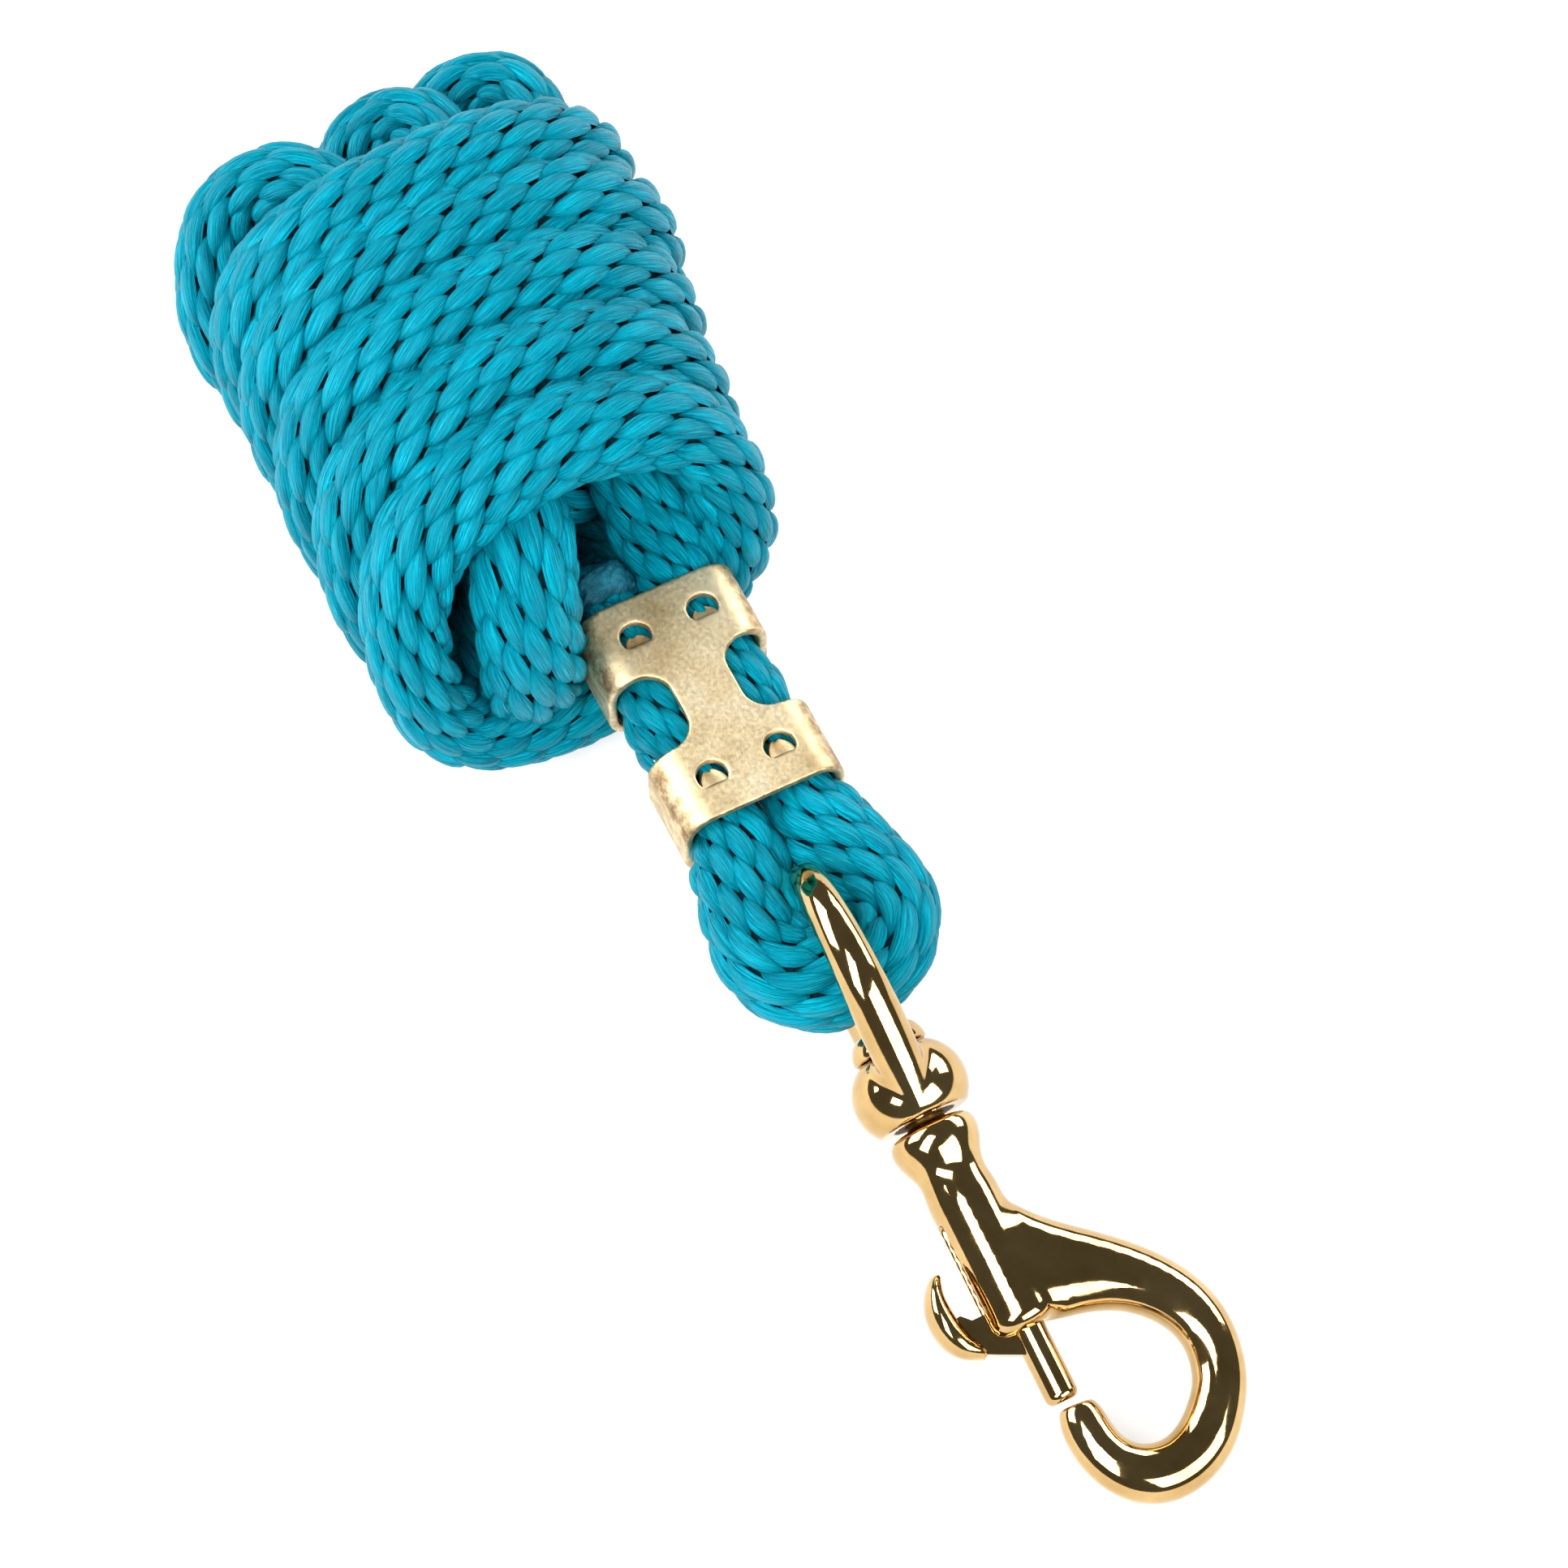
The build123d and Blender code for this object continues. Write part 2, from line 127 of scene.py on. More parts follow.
def read_route(points):
    """The points down the middle of the rope, from a NURBS spline with the route as its control points."""
    curve = bpy.data.curves.new("route", "CURVE")
    curve.dimensions = "3D"
    curve.resolution_u = 16
    spline = curve.splines.new("NURBS")
    spline.points.add(len(points) - 1)
    for point, place in zip(spline.points, points):
        point.co = (place[0] * MM, place[1] * MM, place[2] * MM, 1.0)
    spline.order_u = 3
    spline.use_endpoint_u = True
    holder = bpy.data.objects.new("route", curve)
    mesh = bpy.data.meshes.new_from_object(holder)
    line = np.array([v.co for v in mesh.vertices], float)
    bpy.data.meshes.remove(mesh)
    bpy.data.objects.remove(holder)
    bpy.data.curves.remove(curve)
    return line


# the last two points of the foremost turn give way to the tail
route_line = read_route(HEAD + CORE + wraps()[:-2] + TAIL)
route_along = np.concatenate([[0], np.cumsum(np.linalg.norm(np.diff(route_line, axis=0), axis=1))])
rope_length = float(route_along[-1])

# ---------------------------------------------------------------- the rope's frames and its squash
STEP = 1.2 * MM
stations = np.linspace(0, rope_length, int(rope_length / STEP) + 1)
centre = np.stack([np.interp(stations, route_along, route_line[:, k]) for k in range(3)], axis=1)


def smoothed(values, width):
    """Values along the rope, averaged over a width in metres."""
    n = max(1, int(width / STEP / 2)) * 2 + 1
    kernel = np.hanning(n + 2)[1:-1]
    kernel /= kernel.sum()
    flat = values.reshape(len(values), -1)
    padded = np.concatenate([np.repeat(flat[:1], n // 2, 0), flat, np.repeat(flat[-1:], n // 2, 0)])
    out = np.stack([np.convolve(padded[:, k], kernel, mode="valid") for k in range(flat.shape[1])], axis=1)
    return out.reshape(values.shape)


def unit(vectors):
    """Vectors brought to a length of 1."""
    return vectors / np.maximum(np.linalg.norm(vectors, axis=-1, keepdims=True), 1e-12)


tangent = unit(np.gradient(centre, axis=0))
normal = np.zeros_like(tangent)
normal[0] = unit(np.cross(np.cross(tangent[0], [0.0, 0.0, 1.0]), tangent[0]))
for i in range(1, len(tangent)):
    carried = normal[i - 1] - tangent[i] * normal[i - 1].dot(tangent[i])
    normal[i] = carried / np.linalg.norm(carried)
binormal = np.cross(tangent, normal)

# where the rope is pressed: millimetres across, and metres along it from the bitter end
WRAP_REACH = 31.0
RING_POWER = 2.6
RING_FACING = 1.6
WRAPPED_FROM = 0.72
WRAPS_START = 0.66
FOLDS_START = 0.3
NOTCH_HALF = 5.5
NOTCH_RELIEF = 0.75
FOLD_Y = -11
FOLD_HALF = 4
x, y, z = centre[:, 0] / MM, centre[:, 1] / MM, centre[:, 2] / MM
on_lead = (abs(y - LEAD_Y) < 10) & (abs(z - LEAD_Z) < 2)
in_clamp = (x > clamp_low.x / MM - 1) & (x < clamp_high.x / MM + 1) & on_lead
notch = np.exp(-(((x - (clamp_low.x + clamp_high.x) / 2 / MM) / NOTCH_HALF) ** 4))
ring = (abs(y - WRAP_Y) / WRAP_REACH) ** RING_POWER + (abs(z - WRAP_Z) / WRAP_RISE) ** RING_POWER
wrapped = (ring > WRAPPED_FROM) & (stations > WRAPS_START)
eye_loop = (x > clamp_high.x / MM + 2) & (x < 60)
in_front = (abs(y - FOLD_Y) < FOLD_HALF) & (x > -50) & (z > 12) & (z < 50)
front_fold = in_front & ~wrapped & (stations > FOLDS_START)
upright = np.tile([0.0, 0.0, 1.0], (len(x), 1))
sideways = np.tile([0.0, 1.0, 0.0], (len(x), 1))
outwards = np.stack([
    np.zeros(len(x)),
    np.sign(y - WRAP_Y) * (abs(y - WRAP_Y) / WRAP_REACH) ** RING_FACING / WRAP_REACH,
    np.sign(z - WRAP_Z) * (abs(z - WRAP_Z) / WRAP_RISE) ** RING_FACING / WRAP_RISE,
], axis=1)
# (where, direction pressed, share left that way, share left across it)
PRESSES = [
    (smoothed(in_clamp * (1 - NOTCH_RELIEF * notch), 9 * MM), sideways, 0.76, 0.87),
    (smoothed(wrapped * 1.0, 14 * MM), outwards, 0.88, 1.12),
    (smoothed(eye_loop * 1.0, 10 * MM), upright, 0.95, 1.06),
    (smoothed(front_fold * 1.0, 12 * MM), np.cross(tangent, sideways), 0.9, 1.13),
]
SQUASH = []
for weight, pressed, thin, wide in PRESSES:
    flat = unit(pressed - tangent * (pressed * tangent).sum(1, keepdims=True))
    SQUASH.append((weight, flat, np.cross(tangent, flat), thin - 1, wide - 1))


def at(values, s):
    """Values at distances along the rope."""
    place = np.clip(s / rope_length * (len(stations) - 1), 0, len(stations) - 1.001)
    i = place.astype(int)
    f = place - i
    if values.ndim == 1:
        return values[i] * (1 - f) + values[i + 1] * f
    return values[i] * (1 - f)[..., None] + values[i + 1] * f[..., None]


def on_rope(s, angle, radius):
    """Points at distances along the rope, angles round it and radii from its middle."""
    aside = at(normal, s) * np.cos(angle)[..., None] + at(binormal, s) * np.sin(angle)[..., None]
    off = aside * radius[..., None]
    out = off.copy()
    for weight, flat, across, thin, wide in SQUASH:
        w = at(weight, s)[..., None]
        flat_here, across_here = at(flat, s), at(across, s)
        out += w * thin * (off * flat_here).sum(-1, keepdims=True) * flat_here
        out += w * wide * (off * across_here).sum(-1, keepdims=True) * across_here
    return at(centre, s) + out


# ---------------------------------------------------------------- the braid: columns of slanting stitches
COLUMNS = 12
# along the rope: from one stitch to the next, half a stitch's length, and how far each column is shifted
PITCH = 7.4 * MM
STITCH_HALF = 5.8 * MM
STAGGER = 0.42
# half a stitch's width, its slant, and how far its ends lie above and below its middle
STITCH_WIDE = 1.94 * MM
SLANT = math.radians(-21)
SHINGLE = 0.45 * MM
# how much a stitch straightens towards its ends
S_BEND = 0.32
# from the rope's middle: a stitch's crown and its tips, the radius its width is laid at, and the core
TOP, TIP, LAID_AT, CORE_RADIUS = 8.0 * MM, 5.5 * MM, 7.2 * MM, 4.5 * MM
# how far a stitch falls from its crown to its long edges
CROWN = 1.6 * MM
# grid of one stitch, and the core's sides and the length of one of its rings
STITCH_ROWS, STITCH_ACROSS = 11, 9
CORE_SIDES = 24
CORE_RING = 2.4 * MM
# how much stitches differ: metres along the rope, radians round it, share of size, and millimetres of height
UNEVEN_ALONG = 0.12 * MM
UNEVEN_ROUND = 0.012
UNEVEN_SIZE = 0.05
UNEVEN_HEIGHT = 0.25


def grid_faces(rows, columns, blocks):
    """Quads of equal grids laid one after another."""
    r, c = np.meshgrid(np.arange(rows - 1), np.arange(columns - 1), indexing="ij")
    first = (r * columns + c).ravel()
    quads = np.stack([first, first + columns, first + columns + 1, first + 1], axis=1)
    return (quads[None] + (np.arange(blocks) * rows * columns)[:, None, None]).reshape(-1, 4)


def new_mesh(name, points, faces, uv, tint):
    """A smooth mesh of quads, with a UV map and a tint for each point."""
    mesh = bpy.data.meshes.new(name)
    mesh.vertices.add(len(points))
    mesh.vertices.foreach_set("co", points.astype(np.float32).ravel())
    mesh.loops.add(faces.size)
    mesh.loops.foreach_set("vertex_index", faces.astype(np.int32).ravel())
    mesh.polygons.add(len(faces))
    mesh.polygons.foreach_set("loop_start", np.arange(0, faces.size, faces.shape[1], dtype=np.int32))
    mesh.polygons.foreach_set("use_smooth", np.ones(len(faces), bool))
    mesh.update(calc_edges=True)
    layer = mesh.uv_layers.new(name="UVMap")
    layer.data.foreach_set("uv", uv[faces.ravel()].astype(np.float32).ravel())
    attribute = mesh.attributes.new("tint", "FLOAT", "POINT")
    attribute.data.foreach_set("value", tint.astype(np.float32))
    mesh.validate()
    return mesh


def new_piece(name, mesh):
    piece = bpy.data.objects.new(name, mesh)
    scene.collection.objects.link(piece)
    return piece


def braid_mesh(name):
    """Stitches in columns along the whole rope, and the core under them."""
    rng = np.random.default_rng(7)
    # u runs along a stitch and v across it
    u = np.linspace(-1, 1, STITCH_ROWS)[:, None]
    v = np.linspace(-1, 1, STITCH_ACROSS)[None, :]
    width = (1 - abs(u) ** 2.2) ** 0.8 * 0.98 + 0.02
    bent = u - S_BEND * u ** 3
    fall = CROWN * abs(v) ** 2.8 * (1 - 0.3 * abs(u) ** 2)
    lift = TOP - (TOP - TIP) * abs(u) ** 3.2 + SHINGLE * u - fall
    along_off = STITCH_HALF * u * math.cos(SLANT) - STITCH_WIDE * v * width * math.sin(SLANT)
    round_off = STITCH_HALF * bent * math.sin(SLANT) + STITCH_WIDE * v * width * math.cos(SLANT)
    places, angles, tints = [], [], []
    for column in range(COLUMNS):
        middle = np.arange(-0.5 + STAGGER * column % 1, rope_length / PITCH + 0.5) * PITCH
        middle = middle + rng.normal(0, UNEVEN_ALONG, len(middle))
        places.append(middle)
        column_angle = np.full(len(middle), 2 * math.pi * column / COLUMNS)
        angles.append(column_angle + rng.normal(0, UNEVEN_ROUND, len(middle)))
        tints.append(rng.random(len(middle)))
    places, angles, tints = np.concatenate(places), np.concatenate(angles), np.concatenate(tints)
    size = 1 + UNEVEN_SIZE * (tints - 0.5)
    s = np.clip(places[:, None, None] + along_off[None] * size[:, None, None], 0, rope_length)
    angle = angles[:, None, None] + (round_off / LAID_AT)[None]
    radius = lift[None] + (tints[:, None, None] - 0.5) * UNEVEN_HEIGHT * MM
    points = on_rope(s, angle, radius).reshape(-1, 3)
    uv = np.stack(np.broadcast_arrays((u + 1) / 2, (v + 1) / 2), axis=-1)
    uv = np.tile(uv.reshape(-1, 2), (len(places), 1))
    tint = np.repeat(tints, STITCH_ROWS * STITCH_ACROSS)
    faces = grid_faces(STITCH_ROWS, STITCH_ACROSS, len(places))
    # the core under the stitches, near-black as painted shade in the gaps between them
    rings = int(rope_length / CORE_RING)
    ring_places = np.linspace(0, rope_length, rings)
    ring_angles = np.linspace(0, 2 * math.pi, CORE_SIDES + 1)
    core_s, core_angle = np.meshgrid(ring_places, ring_angles, indexing="ij")
    core = on_rope(core_s, core_angle, np.full(core_s.shape, CORE_RADIUS)).reshape(-1, 3)
    core_faces = grid_faces(rings, CORE_SIDES + 1, 1) + len(points)
    mesh = new_mesh(
        name,
        np.concatenate([points, core]),
        np.concatenate([faces, core_faces]),
        np.concatenate([uv, np.full((len(core), 2), 0.5)]),
        np.concatenate([tint, np.full(len(core), 0.5)]),
    )
    material_index = np.zeros(len(mesh.polygons), np.int32)
    material_index[len(faces):] = 1
    mesh.polygons.foreach_set("material_index", material_index)
    return mesh


# ---------------------------------------------------------------- materials
def node_material(name):
    """A new material, its nodes and links, and its shader."""
    material = bpy.data.materials.new(name)
    material.use_nodes = True
    nodes, links = material.node_tree.nodes, material.node_tree.links
    return material, nodes, links, nodes["Principled BSDF"]


def add(nodes, kind, **inputs):
    """A new node with some inputs set."""
    node = nodes.new(kind)
    for key, value in inputs.items():
        node.inputs[key].default_value = value
    return node


def ramp(nodes, stops):
    """A colour ramp from pairs of a place and a colour."""
    node = nodes.new("ShaderNodeValToRGB")
    while len(node.color_ramp.elements) < len(stops):
        node.color_ramp.elements.new(0.5)
    for element, (place, colour) in zip(node.color_ramp.elements, stops):
        element.position = place
        element.color = (*colour, 1.0)
    return node


def rope_material():
    """Turquoise yarn: fine filaments along each stitch, and a tint that differs from stitch to stitch."""
    material, nodes, links, shader = node_material("rope_braid")
    uv = nodes.new("ShaderNodeUVMap")
    uv.uv_map = "UVMap"
    tint = nodes.new("ShaderNodeAttribute")
    tint.attribute_name = "tint"
    stretch = nodes.new("ShaderNodeMapping")
    stretch.inputs["Scale"].default_value = (2.2, 26.0, 1.0)
    links.new(uv.outputs["UV"], stretch.inputs["Vector"])
    spread = nodes.new("ShaderNodeMath")
    spread.operation = "MULTIPLY"
    spread.inputs[1].default_value = 91.0
    links.new(tint.outputs["Fac"], spread.inputs[0])
    filament = add(nodes, "ShaderNodeTexNoise", Scale=1.0, Detail=3.0, Roughness=0.62)
    filament.noise_dimensions = "4D"
    links.new(stretch.outputs["Vector"], filament.inputs["Vector"])
    links.new(spread.outputs["Value"], filament.inputs["W"])
    colours = ramp(nodes, [(0.34, (0.0, 0.10, 0.15)), (0.5, (0.0, 0.225, 0.325)), (0.66, (0.0, 0.41, 0.53))])
    links.new(filament.outputs["Fac"], colours.inputs["Fac"])
    shade = nodes.new("ShaderNodeMapRange")
    shade.inputs["To Min"].default_value = 0.86
    shade.inputs["To Max"].default_value = 1.08
    links.new(tint.outputs["Fac"], shade.inputs["Value"])
    mix = nodes.new("ShaderNodeVectorMath")
    mix.operation = "SCALE"
    links.new(colours.outputs["Color"], mix.inputs[0])
    links.new(shade.outputs["Result"], mix.inputs["Scale"])
    links.new(mix.outputs["Vector"], shader.inputs["Base Color"])
    bump = add(nodes, "ShaderNodeBump", Strength=0.9, Distance=0.0008)
    links.new(filament.outputs["Fac"], bump.inputs["Height"])
    links.new(bump.outputs["Normal"], shader.inputs["Normal"])
    shader.inputs["Roughness"].default_value = 0.36
    shader.inputs["Specular Tint"].default_value = (0.05, 0.7, 0.9, 1.0)
    shader.inputs["Sheen Weight"].default_value = 0.04
    shader.inputs["Sheen Roughness"].default_value = 0.35
    shader.inputs["Sheen Tint"].default_value = (0.0, 0.8, 1.0, 1.0)
    return material


def gap_shade_core_material():
    """The core seen in the gaps between the stitches, coloured near-black as painted shade."""
    material, nodes, links, shader = node_material("rope_core_painted_shade")
    noise = add(nodes, "ShaderNodeTexNoise", Scale=900.0, Detail=3.0)
    geometry = nodes.new("ShaderNodeNewGeometry")
    links.new(geometry.outputs["Position"], noise.inputs["Vector"])
    # painted shade: near-black teal for the gaps between the stitches
    colours = ramp(nodes, [(0.3, (0.0, 0.012, 0.02)), (0.8, (0.0, 0.06, 0.085))])
    links.new(noise.outputs["Fac"], colours.inputs["Fac"])
    links.new(colours.outputs["Color"], shader.inputs["Base Color"])
    shader.inputs["Roughness"].default_value = 0.9
    return material


rope = new_piece("lead_rope", braid_mesh("lead_rope"))
rope.data.materials.append(rope_material())
rope.data.materials.append(gap_shade_core_material())
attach(rope, "root")
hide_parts("rope_hank", "rope_standing", "rope_in_clamp", "rope_loop")


# ---------------------------------------------------------------- the melted bitter end
END_SQUARE = 0.75
END_GROWN = 1.03


def melted_end():
    """A lumpy rounded block in place of the plain bitter end."""
    low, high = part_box("rope_bitter_end")
    middle, half = (low + high) / 2, (high - low) / 2
    mesh = bpy.data.meshes.new("melted_end")
    shape = bmesh.new()
    bmesh.ops.create_icosphere(shape, subdivisions=5, radius=1.0)
    for vert in shape.verts:
        d = vert.co.normalized()
        box = Vector([math.copysign(abs(d[k]) ** END_SQUARE, d[k]) for k in range(3)])
        large = 0.06 * math.sin(9 * d.y + 4 * d.z) * math.cos(7 * d.z - 3 * d.x)
        small = 0.035 * math.sin(23 * d.x + 17 * d.y) * math.sin(19 * d.z)
        box *= 1 + (large + small)
        vert.co = middle + Vector([box[k] * half[k] * END_GROWN for k in range(3)])
    shape.to_mesh(mesh)
    shape.free()
    mesh.polygons.foreach_set("use_smooth", np.ones(len(mesh.polygons), bool))
    material, nodes, links, shader = node_material("melted_braid")
    geometry = nodes.new("ShaderNodeNewGeometry")
    noise = add(nodes, "ShaderNodeTexNoise", Scale=620.0, Detail=6.0, Roughness=0.7)
    links.new(geometry.outputs["Position"], noise.inputs["Vector"])
    colours = ramp(nodes, [(0.3, (0.0, 0.05, 0.09)), (0.55, (0.0, 0.17, 0.25)), (0.8, (0.01, 0.35, 0.44))])
    links.new(noise.outputs["Fac"], colours.inputs["Fac"])
    links.new(colours.outputs["Color"], shader.inputs["Base Color"])
    bump = add(nodes, "ShaderNodeBump", Strength=0.8, Distance=0.0008)
    links.new(noise.outputs["Fac"], bump.inputs["Height"])
    links.new(bump.outputs["Normal"], shader.inputs["Normal"])
    shader.inputs["Roughness"].default_value = 0.55
    piece = new_piece("melted_end", mesh)
    piece.data.materials.append(material)
    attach(piece, "root")
    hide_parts("rope_bitter_end")


melted_end()


# ---------------------------------------------------------------- brass
def brass(name, deep, mid, pale, roughness, bump_scale, bump_strength, tarnish_and_side_shade=None):
    """Metal whose tone drifts slowly over the surface, with fine handling marks in its gloss."""
    material, nodes, links, shader = node_material(name)
    geometry = nodes.new("ShaderNodeNewGeometry")
    drift = add(nodes, "ShaderNodeTexNoise", Scale=95.0, Detail=4.0, Roughness=0.6)
    grain = add(nodes, "ShaderNodeTexNoise", Scale=bump_scale, Detail=5.0, Roughness=0.65)
    links.new(geometry.outputs["Position"], drift.inputs["Vector"])
    links.new(geometry.outputs["Position"], grain.inputs["Vector"])
    colours = ramp(nodes, [(0.3, deep), (0.5, mid), (0.72, pale)])
    links.new(drift.outputs["Fac"], colours.inputs["Fac"])
    tone = colours.outputs["Color"]
    if tarnish_and_side_shade:
        # faces that look up stay bright, and the sides turn brown in speckles: partly tarnish, partly
        # painted shade
        axes = nodes.new("ShaderNodeSeparateXYZ")
        links.new(geometry.outputs["Normal"], axes.inputs["Vector"])
        bend = nodes.new("ShaderNodeFloatCurve")
        for place, value in ((0.12, 0.7), (0.45, 1.0), (0.8, 0.7)):
            bend.mapping.curves[0].points.new(place, value)
        bend.mapping.curves[0].points[0].location = (0.0, 0.6)
        bend.mapping.curves[0].points[-1].location = (1.0, 0.0)
        bend.mapping.update()
        links.new(axes.outputs["Z"], bend.inputs["Value"])
        speckle = add(nodes, "ShaderNodeTexNoise", Scale=420.0, Detail=5.0, Roughness=0.7)
        links.new(geometry.outputs["Position"], speckle.inputs["Vector"])
        spots = ramp(nodes, [(0.34, (0.15, 0.15, 0.15)), (0.58, (0.95, 0.95, 0.95))])
        links.new(speckle.outputs["Fac"], spots.inputs["Fac"])
        amount = nodes.new("ShaderNodeMath")
        amount.operation = "MULTIPLY"
        links.new(bend.outputs["Value"], amount.inputs[0])
        links.new(spots.outputs["Color"], amount.inputs[1])
        tarnished_and_shaded = nodes.new("ShaderNodeMix")
        tarnished_and_shaded.data_type = "RGBA"
        links.new(amount.outputs["Value"], tarnished_and_shaded.inputs["Factor"])
        links.new(tone, tarnished_and_shaded.inputs["A"])
        tarnished_and_shaded.inputs["B"].default_value = (*tarnish_and_side_shade, 1.0)
        tone = tarnished_and_shaded.outputs["Result"]
    links.new(tone, shader.inputs["Base Color"])
    gloss = nodes.new("ShaderNodeMapRange")
    gloss.inputs["From Min"].default_value = 0.3
    gloss.inputs["From Max"].default_value = 0.75
    gloss.inputs["To Min"].default_value = roughness[0]
    gloss.inputs["To Max"].default_value = roughness[1]
    links.new(grain.outputs["Fac"], gloss.inputs["Value"])
    links.new(gloss.outputs["Result"], shader.inputs["Roughness"])
    bump = add(nodes, "ShaderNodeBump", Strength=bump_strength, Distance=0.0002)
    links.new(grain.outputs["Fac"], bump.inputs["Height"])
    links.new(bump.outputs["Normal"], shader.inputs["Normal"])
    shader.inputs["Metallic"].default_value = 1.0
    return material


polished = brass(
    "polished_brass", deep=(0.46, 0.29, 0.11), mid=(0.55, 0.365, 0.15), pale=(0.64, 0.45, 0.21),
    roughness=(0.03, 0.12), bump_scale=260.0, bump_strength=0.05,
)
# the satin clamp's sides are browned by facing: speckled tarnish and painted shade
satin = brass(
    "satin_brass", deep=(0.66, 0.50, 0.27), mid=(0.85, 0.69, 0.42), pale=(0.93, 0.81, 0.57),
    roughness=(0.42, 0.6), bump_scale=1400.0, bump_strength=0.25, tarnish_and_side_shade=(0.24, 0.14, 0.06),
)
spring_metal = brass(
    "spring_steel", deep=(0.32, 0.32, 0.33), mid=(0.5, 0.5, 0.51), pale=(0.6, 0.6, 0.61),
    roughness=(0.25, 0.4), bump_scale=1800.0, bump_strength=0.1,
)
# painted shade: a dark brown, rough brass for the shaded hole of the eye round the swivel's stem
neck_shade_brass = brass(
    "painted_shade_brass", deep=(0.07, 0.045, 0.02), mid=(0.13, 0.085, 0.035), pale=(0.2, 0.13, 0.06),
    roughness=(0.45, 0.7), bump_scale=2600.0, bump_strength=0.5,
)
for node, material in (("bolt", polished), ("bolt_spring", spring_metal)):
    mesh = frame["nodes"][node].data
    mesh.materials.clear()
    mesh.materials.append(material)


# how a casting is softened: passes over the whole of it, sweeps in each filling pass, how far a sweep moves
# a point towards its neighbours' mean, and the distance in metres at which points are welded first
ROUNDS = 4
SWEEPS = 8
SWEEP_SHARE = 0.6
WELD = 2e-6


def coordinates(mesh):
    co = np.zeros(len(mesh.vertices) * 3, np.float32)
    mesh.vertices.foreach_get("co", co)
    return co.reshape(-1, 3).astype(float)


def casting(node, name, body, material, voxel, fills=()):
    """A CAD solid with the soft corners of a cast part: remeshed finely, relaxed and filled.

    Each fill is a place, a reach and a number of passes that raise the hollows there and leave the rest."""
    welded = frame["nodes"][node].data.copy()
    shape = bmesh.new()
    shape.from_mesh(welded)
    bmesh.ops.remove_doubles(shape, verts=shape.verts, dist=WELD)
    shape.to_mesh(welded)
    shape.free()
    holder = new_piece(name + "_source", welded)
    remesh = holder.modifiers.new("remesh", "REMESH")
    remesh.mode = "VOXEL"
    remesh.voxel_size = voxel
    remesh.use_smooth_shade = True
    relax = holder.modifiers.new("relax", "SMOOTH")
    relax.factor = 0.5
    relax.iterations = ROUNDS
    mesh = bpy.data.meshes.new_from_object(holder.evaluated_get(bpy.context.evaluated_depsgraph_get()))
    bpy.data.objects.remove(holder)
    edges = np.zeros(len(mesh.edges) * 2, np.int64)
    mesh.edges.foreach_get("vertices", edges)
    a, b = np.concatenate([edges[0::2], edges[1::2]]), np.concatenate([edges[1::2], edges[0::2]])
    count = np.maximum(np.bincount(a, minlength=len(mesh.vertices)), 1)[:, None]
    co = coordinates(mesh)
    for place, reach, passes in fills:
        weight = np.clip(2 * (1 - np.linalg.norm(co - np.array(place), axis=1) / reach), 0, 1)
        near = weight > 0
        keep = near[a]
        ends, others = a[keep], b[keep]
        for _ in range(passes):
            before = co.copy()
            for _ in range(SWEEPS):
                total = np.stack([np.bincount(ends, co[others, k], len(co)) for k in range(3)], axis=1)
                mean = total / count
                co[near] += (SWEEP_SHARE * weight[:, None] * (mean - co))[near]
            mesh.vertices.foreach_set("co", before.astype(np.float32).ravel())
            mesh.update()
            normals = np.zeros(co.size, np.float32)
            mesh.vertices.foreach_get("normal", normals)
            normals = normals.reshape(-1, 3)
            moved = ((co - before) * normals).sum(1, keepdims=True)
            co = np.where(moved > 0, co, before)
    mesh.vertices.foreach_set("co", co.astype(np.float32).ravel())
    mesh.update()
    mesh.materials.clear()
    mesh.materials.append(material)
    mesh.polygons.foreach_set("use_smooth", np.ones(len(mesh.polygons), bool))
    piece = new_piece(name, mesh)
    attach(piece, body)
    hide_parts(node)
    return piece


# the snap's own axis, from the record; distances along it start 40 mm before the swivel's middle
SWIVEL_AT = 40
swivel = next(j for j in frame["joints"] if j["name"] == "snap_swivel")
snap_direction = Vector(swivel["axis"]).normalized()
snap_start = Vector(swivel["pos_m"]) - snap_direction * SWIVEL_AT * MM
snap_side = Vector((0, 1, 0))


def on_snap(distance, side):
    """A point in millimetres along the snap and to its side."""
    return snap_start + snap_direction * distance * MM + snap_side * side * MM


# filled hollows: where the arm leaves the barrel, on both sides of it, and the foot of the eye's bar
ARM_FILLS = [(on_snap(62, 7), 14 * MM, 70), (on_snap(77, 6), 7 * MM, 20)]
EYE_FILLS = [(on_snap(36, 0), 11 * MM, 35)]
casting("snap_body", "snap_casting", "snap", polished, 0.42 * MM, ARM_FILLS)
eye_casting = casting("swivel_eye", "eye_casting", "eye", polished, 0.4 * MM, EYE_FILLS)
casting("rope_clamp", "clamp_stamping", "root", satin, 0.34 * MM)

# the eye's hole round the swivel's stem: a rough brass, dark brown as painted shade
HOLE_FROM = 44.7 * MM
HOLE_RADIUS = 5.2 * MM
eye_mesh = eye_casting.data
eye_mesh.materials.append(neck_shade_brass)
for polygon in eye_mesh.polygons:
    offset = polygon.center - snap_start
    distance = offset.dot(snap_direction)
    if distance > HOLE_FROM and (offset - snap_direction * distance).length < HOLE_RADIUS:
        polygon.material_index = 1


# ---------------------------------------------------------------- the clamp's teeth, bent in from its holes
TOOTH_HALF = 2.1 * MM
TOOTH_SHEET = 1.1 * MM
TOOTH_CROWN = 0.35 * MM
TOOTH_EDGE = 0.2 * MM
TOOTH_GRID = 9
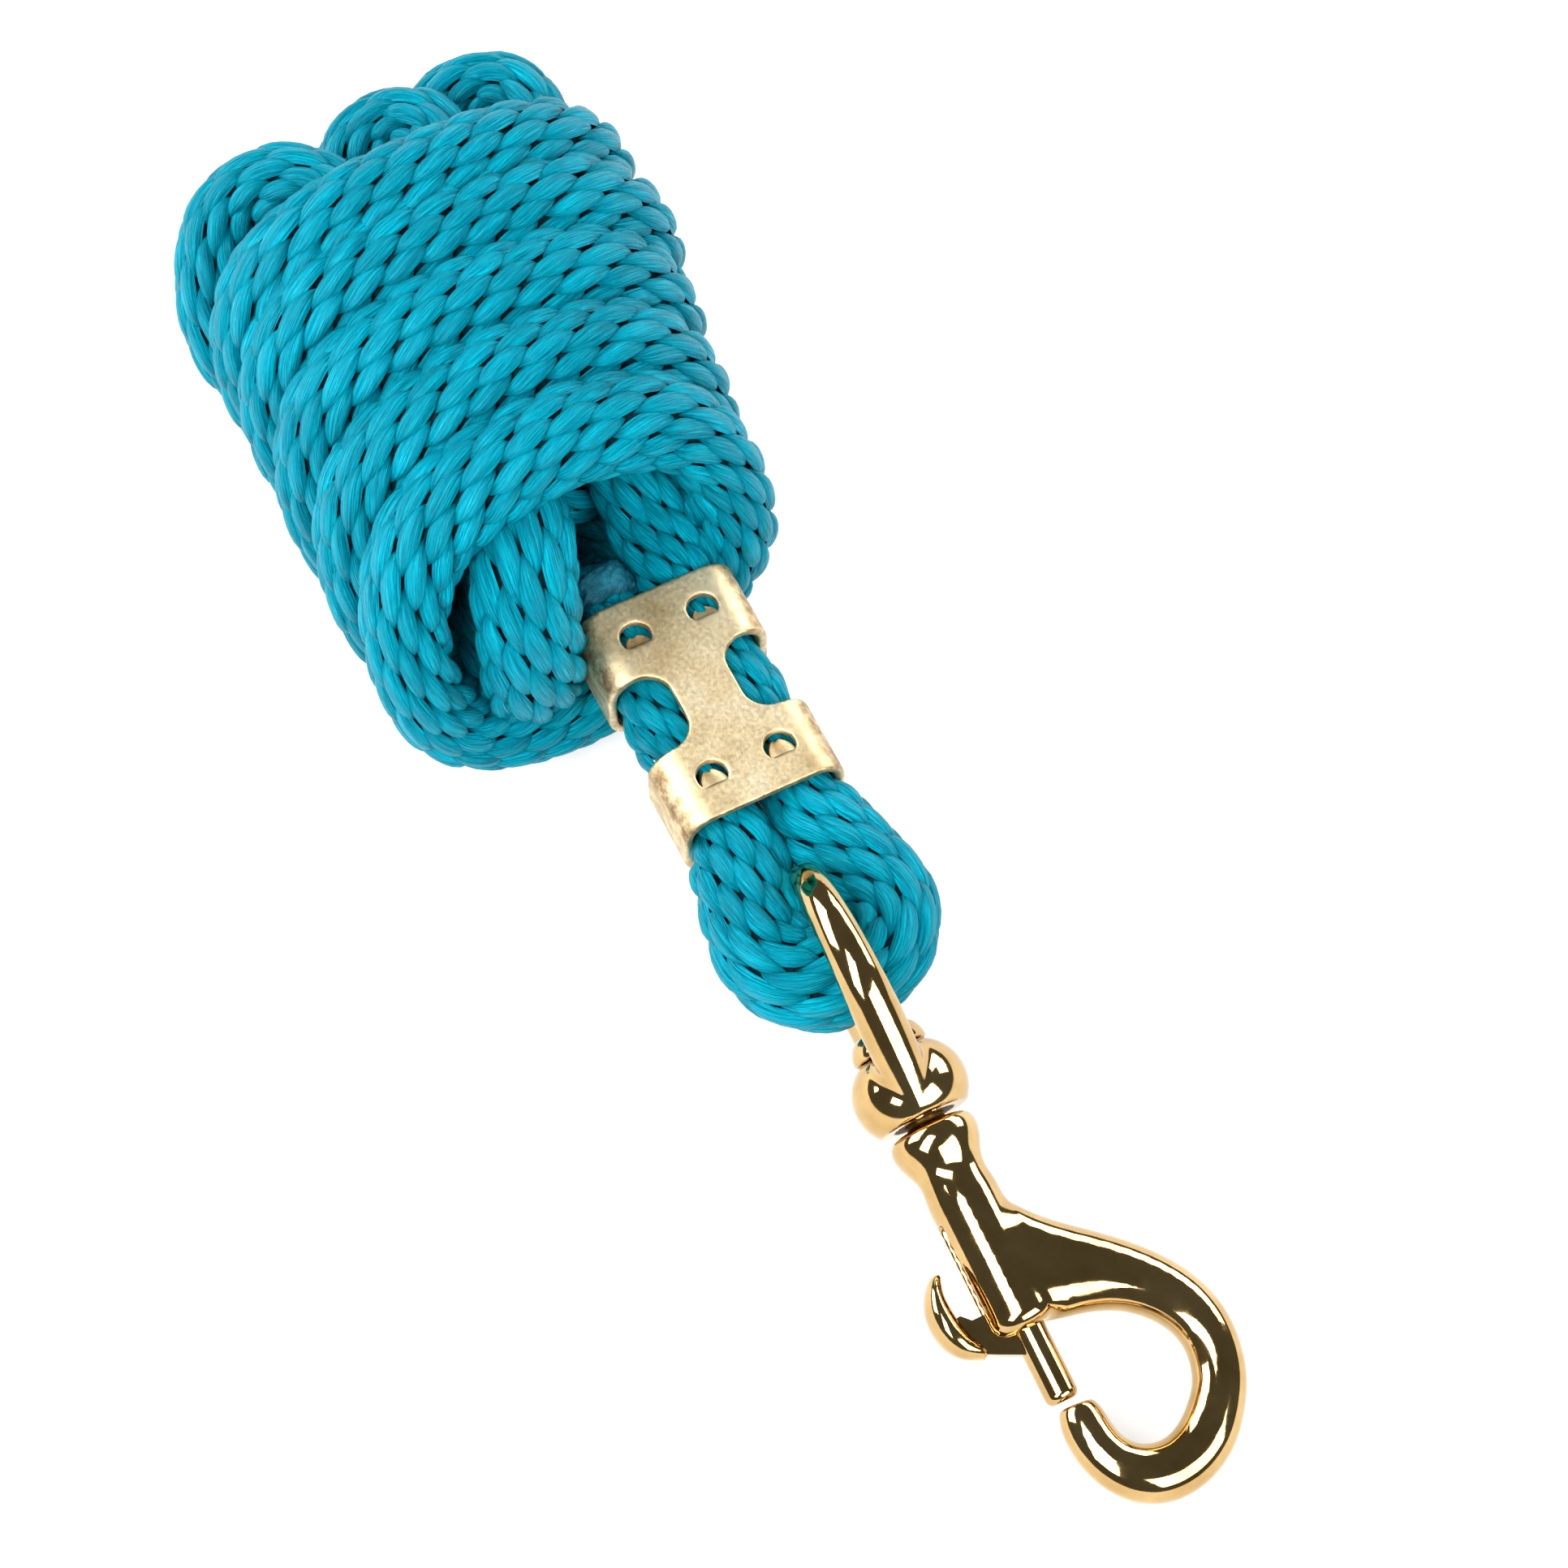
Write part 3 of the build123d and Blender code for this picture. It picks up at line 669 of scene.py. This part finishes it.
# from the clamp's middle to a hole, from the hole's middle to its edge, and from the lead's middle to a hole
HOLE_ALONG = 14 * MM
HOLE_EDGE = 1.8 * MM
HOLE_ASIDE = 6 * MM
TOOTH_BELOW = 0.5 * MM
# for the band at the hank and the band at the eye: the side it is on, its teeth's length and their drop
BANDS = ((-1, 2.9 * MM, 1.4 * MM), (1, 3.6 * MM, 1.1 * MM))


def tooth_flap(name, x, y, top, length, drop):
    """A tongue bent down into a hole from its edge on the eye's side."""
    mesh = bpy.data.meshes.new(name)
    shape = bmesh.new()
    grid = []
    for r in range(TOOTH_GRID):
        share = r / (TOOTH_GRID - 1)
        width = TOOTH_HALF * (1 - 0.75 * share ** 3)
        row = []
        for c in range(TOOTH_GRID):
            across = 2 * c / (TOOTH_GRID - 1) - 1
            height = top - drop * share ** 1.3 - TOOTH_CROWN * (1 - across ** 2)
            row.append(shape.verts.new((x - share * length, y + width * across, height)))
        grid.append(row)
    for r in range(TOOTH_GRID - 1):
        for c in range(TOOTH_GRID - 1):
            shape.faces.new((grid[r][c], grid[r][c + 1], grid[r + 1][c + 1], grid[r + 1][c]))
    bmesh.ops.recalc_face_normals(shape, faces=shape.faces)
    bmesh.ops.solidify(shape, geom=shape.faces[:], thickness=TOOTH_SHEET)
    shape.to_mesh(mesh)
    shape.free()
    mesh.polygons.foreach_set("use_smooth", np.ones(len(mesh.polygons), bool))
    mesh.materials.append(satin)
    piece = new_piece(name, mesh)
    bevel = piece.modifiers.new("edges", "BEVEL")
    bevel.width = TOOTH_EDGE
    bevel.segments = 2
    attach(piece, "root")


clamp_box_low, clamp_box_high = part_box("rope_clamp")
clamp_x = (clamp_box_low.x + clamp_box_high.x) / 2
tooth_count = 0
for way, tooth_length, tooth_drop in BANDS:
    for side in (-1, 1):
        tooth_count += 1
        edge_x = clamp_x + way * HOLE_ALONG + HOLE_EDGE
        hole_y = LEAD_Y * MM + side * HOLE_ASIDE
        sheet_z = clamp_box_high.z - TOOTH_BELOW
        tooth_flap("clamp_tooth_%d" % tooth_count, edge_x, hole_y, sheet_z, tooth_length, tooth_drop)

# ---------------------------------------------------------------- floor, lights and world
FLOOR_RADIUS = 2.5
LOOK_AT = (0, 0, 0.02)
floor_mesh = bpy.data.meshes.new("floor")
shape = bmesh.new()
bmesh.ops.create_circle(shape, cap_ends=True, segments=96, radius=FLOOR_RADIUS)
shape.to_mesh(floor_mesh)
shape.free()
floor = new_piece("floor", floor_mesh)
floor_material, _, _, shader = node_material("pale_floor")
shader.inputs["Base Color"].default_value = (0.38, 0.38, 0.38, 1)
shader.inputs["Emission Color"].default_value = (1, 1, 1, 1)
shader.inputs["Emission Strength"].default_value = 0.64
shader.inputs["Roughness"].default_value = 0.75
floor_mesh.materials.append(floor_material)


def softbox(name, place, size, power):
    """A white rectangular light that faces the object."""
    data = bpy.data.lights.new(name, "AREA")
    data.shape = "RECTANGLE"
    data.size, data.size_y = size
    data.energy = power
    light = bpy.data.objects.new(name, data)
    light.location = place
    light.rotation_euler = (Vector(LOOK_AT) - Vector(place)).to_track_quat("-Z", "Y").to_euler()
    scene.collection.objects.link(light)


softbox("left", (-0.55, -0.6, 0.55), (0.9, 0.6), 15)
softbox("right", (0.75, 0.25, 0.5), (0.8, 0.5), 9)
softbox("rear", (-0.35, 0.85, 0.42), (1.1, 0.4), 9)
softbox("strip", (0.32, -0.42, 0.72), (0.34, 0.8), 9)
world = bpy.data.worlds.new("studio")
world.use_nodes = True
world.node_tree.nodes["Background"].inputs["Color"].default_value = (0.95, 1.0, 0.93, 1)
world.node_tree.nodes["Background"].inputs["Strength"].default_value = 0.12
scene.world = world
scene.view_settings.view_transform = "Standard"
